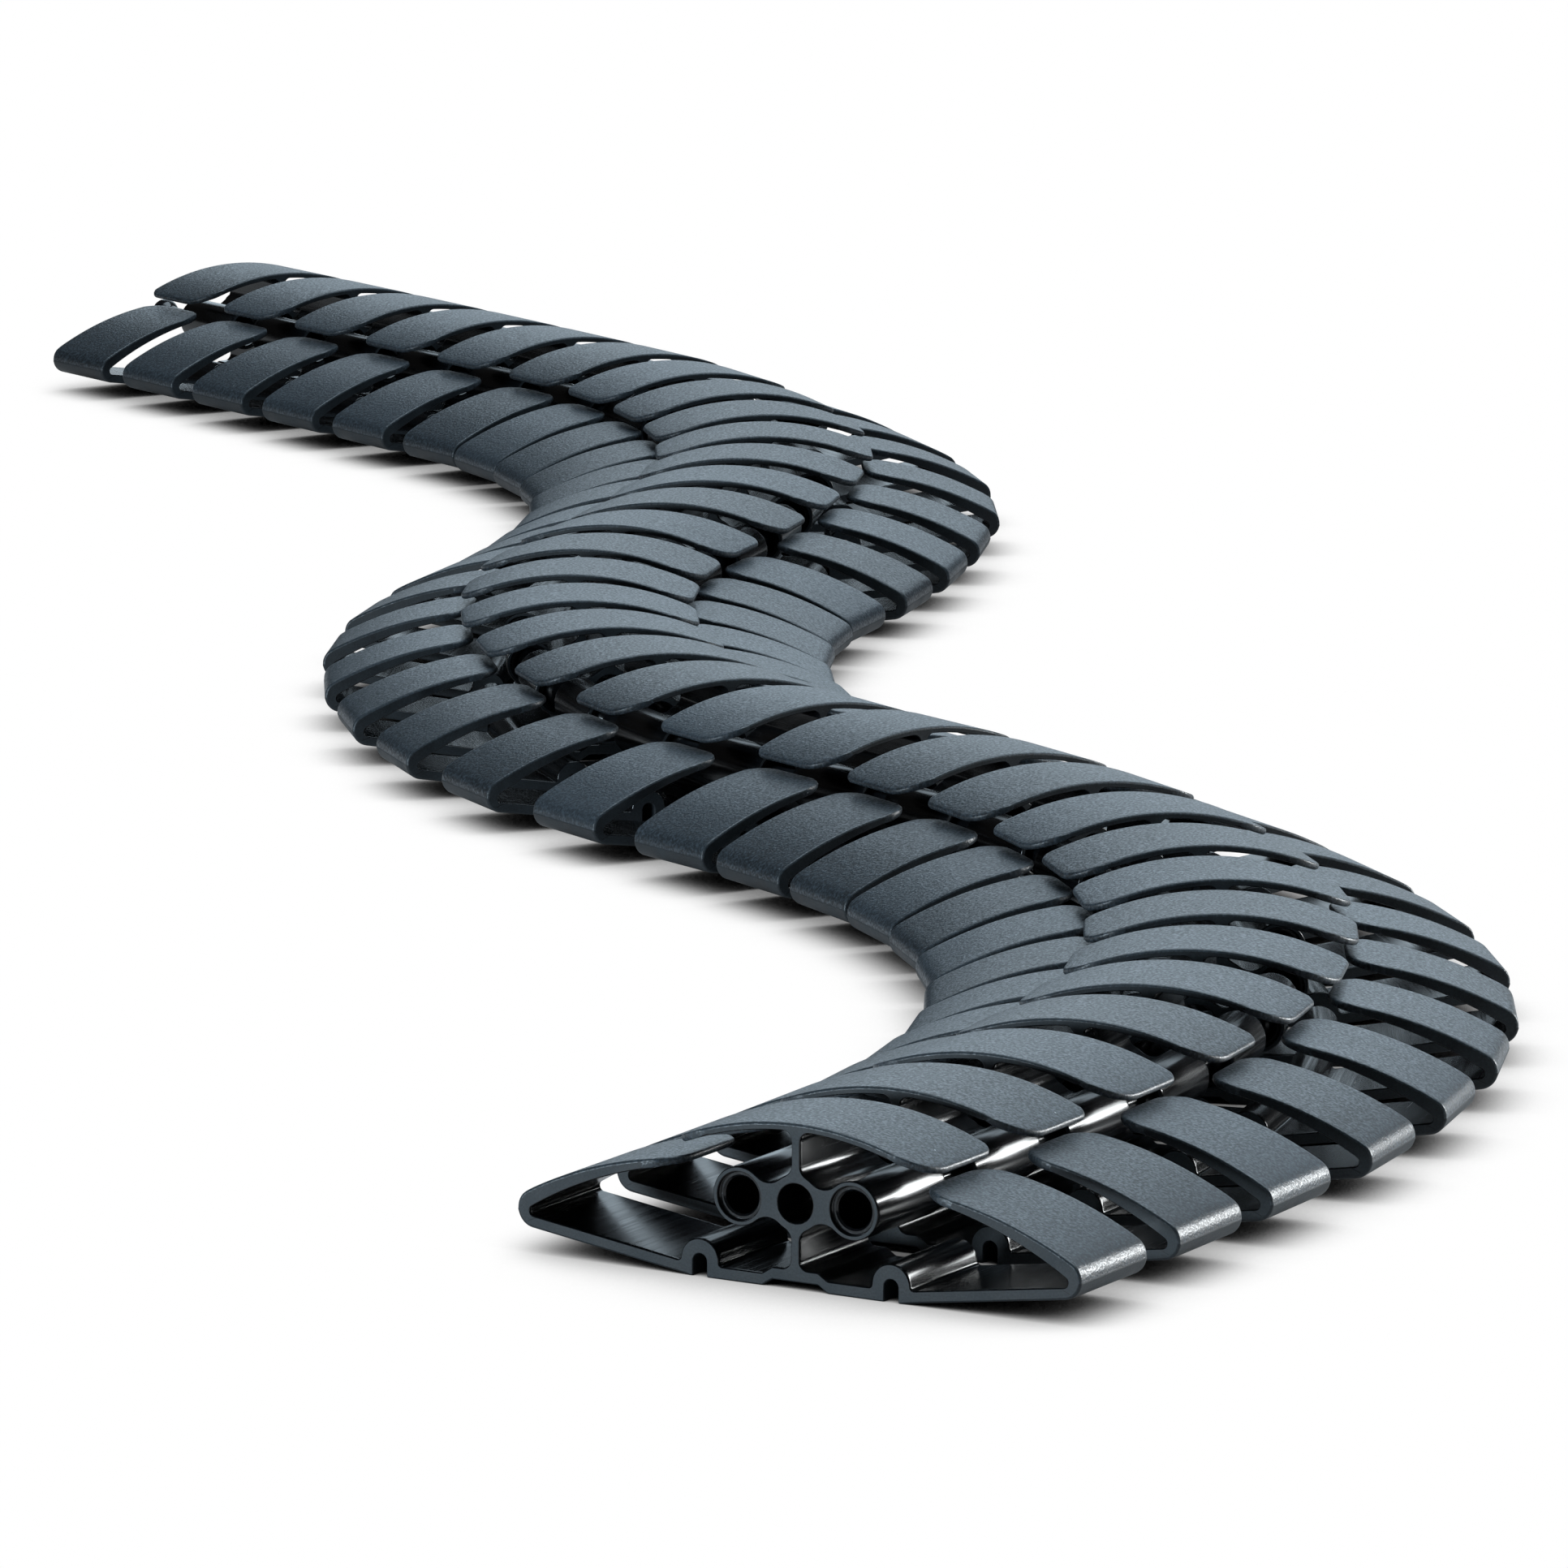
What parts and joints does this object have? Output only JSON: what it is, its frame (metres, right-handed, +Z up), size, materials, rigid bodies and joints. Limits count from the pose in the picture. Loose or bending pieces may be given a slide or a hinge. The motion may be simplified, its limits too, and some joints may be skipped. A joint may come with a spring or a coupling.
{
  "type": "cable spine",
  "caption": "Flat floor cable spine: a bending chain of identical arched moulded vertebrae joined by twin ball studs, with an open cable channel on each side of a middle web.",
  "frame": {"origin": "middle of the plan outline of the laid-out spine, on the floor it lies on", "axes": "+Z up from the floor; -Y out of the front mouth of the first vertebra's middle bore; +X to the right seen from that end's back"},
  "size_m": [0.6358, 0.7682, 0.025],
  "materials": {
    "black_plastic": "fine eroded matt on the outer faces, smooth in the tubes and channels"
  },
  "bodies": {
    "vertebra_01": {"vertebra_01": "black_plastic"},
    "vertebra_02": {"vertebra_02": "black_plastic"},
    "vertebra_03": {"vertebra_03": "black_plastic"},
    "vertebra_04": {"vertebra_04": "black_plastic"},
    "vertebra_05": {"vertebra_05": "black_plastic"},
    "vertebra_06": {"vertebra_06": "black_plastic"},
    "vertebra_07": {"vertebra_07": "black_plastic"},
    "vertebra_08": {"vertebra_08": "black_plastic"},
    "vertebra_09": {"vertebra_09": "black_plastic"},
    "vertebra_10": {"vertebra_10": "black_plastic"},
    "vertebra_11": {"vertebra_11": "black_plastic"},
    "vertebra_12": {"vertebra_12": "black_plastic"},
    "vertebra_13": {"vertebra_13": "black_plastic"},
    "vertebra_14": {"vertebra_14": "black_plastic"},
    "vertebra_15": {"vertebra_15": "black_plastic"},
    "vertebra_16": {"vertebra_16": "black_plastic"},
    "vertebra_17": {"vertebra_17": "black_plastic"},
    "vertebra_18": {"vertebra_18": "black_plastic"},
    "vertebra_19": {"vertebra_19": "black_plastic"},
    "vertebra_20": {"vertebra_20": "black_plastic"},
    "vertebra_21": {"vertebra_21": "black_plastic"},
    "vertebra_22": {"vertebra_22": "black_plastic"},
    "vertebra_23": {"vertebra_23": "black_plastic"},
    "vertebra_24": {"vertebra_24": "black_plastic"},
    "vertebra_25": {"vertebra_25": "black_plastic"},
    "vertebra_26": {"vertebra_26": "black_plastic"},
    "vertebra_27": {"vertebra_27": "black_plastic"},
    "vertebra_28": {"vertebra_28": "black_plastic"},
    "vertebra_29": {"vertebra_29": "black_plastic"},
    "vertebra_30": {"vertebra_30": "black_plastic"},
    "vertebra_31": {"vertebra_31": "black_plastic"},
    "vertebra_32": {"vertebra_32": "black_plastic"},
    "vertebra_33": {"vertebra_33": "black_plastic"},
    "vertebra_34": {"vertebra_34": "black_plastic"}
  },
  "joints": [
    {"name": "turn_02", "type": "hinge", "parent": "vertebra_01", "child": "vertebra_02", "pos_m": [0.26986, -0.35055, 0.013], "axis": [0, 0, 1], "range_deg": [-10.5, 8.5]},
    {"name": "turn_03", "type": "hinge", "parent": "vertebra_02", "child": "vertebra_03", "pos_m": [0.26935, -0.32115, 0.013], "axis": [0, 0, 1], "range_deg": [-10.5, 8.5]},
    {"name": "turn_04", "type": "hinge", "parent": "vertebra_03", "child": "vertebra_04", "pos_m": [0.26832, -0.29177, 0.013], "axis": [0, 0, 1], "range_deg": [-15.5, 3.5]},
    {"name": "turn_05", "type": "hinge", "parent": "vertebra_04", "child": "vertebra_05", "pos_m": [0.26423, -0.26266, 0.013], "axis": [0, 0, 1], "range_deg": [-15.5, 3.5]},
    {"name": "turn_06", "type": "hinge", "parent": "vertebra_05", "child": "vertebra_06", "pos_m": [0.25712, -0.23413, 0.013], "axis": [0, 0, 1], "range_deg": [-17, 2]},
    {"name": "turn_07", "type": "hinge", "parent": "vertebra_06", "child": "vertebra_07", "pos_m": [0.24634, -0.20677, 0.013], "axis": [0, 0, 1], "range_deg": [-17, 2]},
    {"name": "turn_08", "type": "hinge", "parent": "vertebra_07", "child": "vertebra_08", "pos_m": [0.23209, -0.18106, 0.013], "axis": [0, 0, 1], "range_deg": [-17, 2]},
    {"name": "turn_09", "type": "hinge", "parent": "vertebra_08", "child": "vertebra_09", "pos_m": [0.2146, -0.15743, 0.013], "axis": [0, 0, 1], "range_deg": [-16.5, 2.5]},
    {"name": "turn_10", "type": "hinge", "parent": "vertebra_09", "child": "vertebra_10", "pos_m": [0.19436, -0.1361, 0.013], "axis": [0, 0, 1], "range_deg": [-16.5, 2.5]},
    {"name": "turn_11", "type": "hinge", "parent": "vertebra_10", "child": "vertebra_11", "pos_m": [0.17168, -0.1174, 0.013], "axis": [0, 0, 1], "range_deg": [-16.5, 2.5]},
    {"name": "turn_12", "type": "hinge", "parent": "vertebra_11", "child": "vertebra_12", "pos_m": [0.14688, -0.1016, 0.013], "axis": [0, 0, 1], "range_deg": [-14, 5]},
    {"name": "turn_13", "type": "hinge", "parent": "vertebra_12", "child": "vertebra_13", "pos_m": [0.12092, -0.0878, 0.013], "axis": [0, 0, 1], "range_deg": [-14, 5]},
    {"name": "turn_14", "type": "hinge", "parent": "vertebra_13", "child": "vertebra_14", "pos_m": [0.09396, -0.07608, 0.013], "axis": [0, 0, 1], "range_deg": [-6, 13]},
    {"name": "turn_15", "type": "hinge", "parent": "vertebra_14", "child": "vertebra_15", "pos_m": [0.06777, -0.06273, 0.013], "axis": [0, 0, 1], "range_deg": [-2, 17]},
    {"name": "turn_16", "type": "hinge", "parent": "vertebra_15", "child": "vertebra_16", "pos_m": [0.04354, -0.04608, 0.013], "axis": [0, 0, 1], "range_deg": [-2, 17]},
    {"name": "turn_17", "type": "hinge", "parent": "vertebra_16", "child": "vertebra_17", "pos_m": [0.02169, -0.02641, 0.013], "axis": [0, 0, 1], "range_deg": [-2, 17]},
    {"name": "turn_18", "type": "hinge", "parent": "vertebra_17", "child": "vertebra_18", "pos_m": [0.0026, -0.00405, 0.013], "axis": [0, 0, 1], "range_deg": [-2, 17]},
    {"name": "turn_19", "type": "hinge", "parent": "vertebra_18", "child": "vertebra_19", "pos_m": [-0.01342, 0.02061, 0.013], "axis": [0, 0, 1], "range_deg": [-2, 17]},
    {"name": "turn_20", "type": "hinge", "parent": "vertebra_19", "child": "vertebra_20", "pos_m": [-0.02607, 0.04714, 0.013], "axis": [0, 0, 1], "range_deg": [-2, 17]},
    {"name": "turn_21", "type": "hinge", "parent": "vertebra_20", "child": "vertebra_21", "pos_m": [-0.03516, 0.0751, 0.013], "axis": [0, 0, 1], "range_deg": [-2.5, 16.5]},
    {"name": "turn_22", "type": "hinge", "parent": "vertebra_21", "child": "vertebra_22", "pos_m": [-0.04077, 0.10396, 0.013], "axis": [0, 0, 1], "range_deg": [-13.5, 5.5]},
    {"name": "turn_23", "type": "hinge", "parent": "vertebra_22", "child": "vertebra_23", "pos_m": [-0.04838, 0.13236, 0.013], "axis": [0, 0, 1], "range_deg": [-13.5, 5.5]},
    {"name": "turn_24", "type": "hinge", "parent": "vertebra_23", "child": "vertebra_24", "pos_m": [-0.05795, 0.16016, 0.013], "axis": [0, 0, 1], "range_deg": [-13.5, 5.5]},
    {"name": "turn_25", "type": "hinge", "parent": "vertebra_24", "child": "vertebra_25", "pos_m": [-0.06944, 0.18722, 0.013], "axis": [0, 0, 1], "range_deg": [-18.5, 0.5]},
    {"name": "turn_26", "type": "hinge", "parent": "vertebra_25", "child": "vertebra_26", "pos_m": [-0.08502, 0.21216, 0.013], "axis": [0, 0, 1], "range_deg": [-18.5, 0.5]},
    {"name": "turn_27", "type": "hinge", "parent": "vertebra_26", "child": "vertebra_27", "pos_m": [-0.1043, 0.23434, 0.013], "axis": [0, 0, 1], "range_deg": [-17, 2]},
    {"name": "turn_28", "type": "hinge", "parent": "vertebra_27", "child": "vertebra_28", "pos_m": [-0.12632, 0.25383, 0.013], "axis": [0, 0, 1], "range_deg": [-17, 2]},
    {"name": "turn_29", "type": "hinge", "parent": "vertebra_28", "child": "vertebra_29", "pos_m": [-0.1507, 0.27026, 0.013], "axis": [0, 0, 1], "range_deg": [-17, 2]},
    {"name": "turn_30", "type": "hinge", "parent": "vertebra_29", "child": "vertebra_30", "pos_m": [-0.17701, 0.28338, 0.013], "axis": [0, 0, 1], "range_deg": [-10, 9]},
    {"name": "turn_31", "type": "hinge", "parent": "vertebra_30", "child": "vertebra_31", "pos_m": [-0.20343, 0.29627, 0.013], "axis": [0, 0, 1], "range_deg": [-10, 9]},
    {"name": "turn_32", "type": "hinge", "parent": "vertebra_31", "child": "vertebra_32", "pos_m": [-0.22997, 0.30893, 0.013], "axis": [0, 0, 1], "range_deg": [-10, 9]},
    {"name": "turn_33", "type": "hinge", "parent": "vertebra_32", "child": "vertebra_33", "pos_m": [-0.25661, 0.32135, 0.013], "axis": [0, 0, 1], "range_deg": [-10, 9]},
    {"name": "turn_34", "type": "hinge", "parent": "vertebra_33", "child": "vertebra_34", "pos_m": [-0.28337, 0.33354, 0.013], "axis": [0, 0, 1], "range_deg": [-10, 9]}
  ]
}
